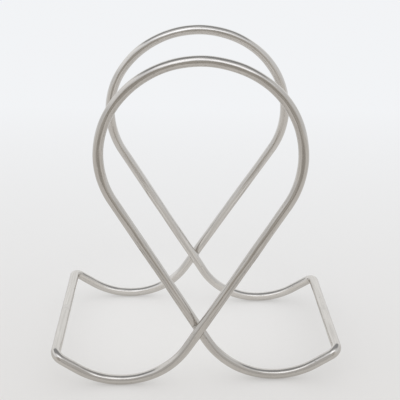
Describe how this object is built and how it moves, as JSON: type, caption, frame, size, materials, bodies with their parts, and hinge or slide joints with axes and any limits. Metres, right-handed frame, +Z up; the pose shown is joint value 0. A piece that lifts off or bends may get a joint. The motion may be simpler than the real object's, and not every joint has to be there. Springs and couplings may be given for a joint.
{
  "type": "napkin holder",
  "caption": "Free-standing bent wire napkin holder: ribbon-shaped wire frames face each other, joined by side bars, and grip napkins standing between them.",
  "frame": {"origin": "on the table plane, midway between the four feet", "axes": "+Z up, +X to the right along the frames, -Y towards the front frame"},
  "size_m": [0.1222, 0.0778, 0.138],
  "materials": {
    "wire_steel": "bright drawn wire, lightly polished",
    "weld_steel": "ground and tumbled weld"
  },
  "bodies": {
    "root": {"front_frame_wire": "wire_steel", "rear_frame_wire": "wire_steel", "front_crossing_weld": "weld_steel", "rear_crossing_weld": "weld_steel", "left_bar_weld": "weld_steel", "right_bar_weld": "weld_steel"}
  },
  "joints": []
}
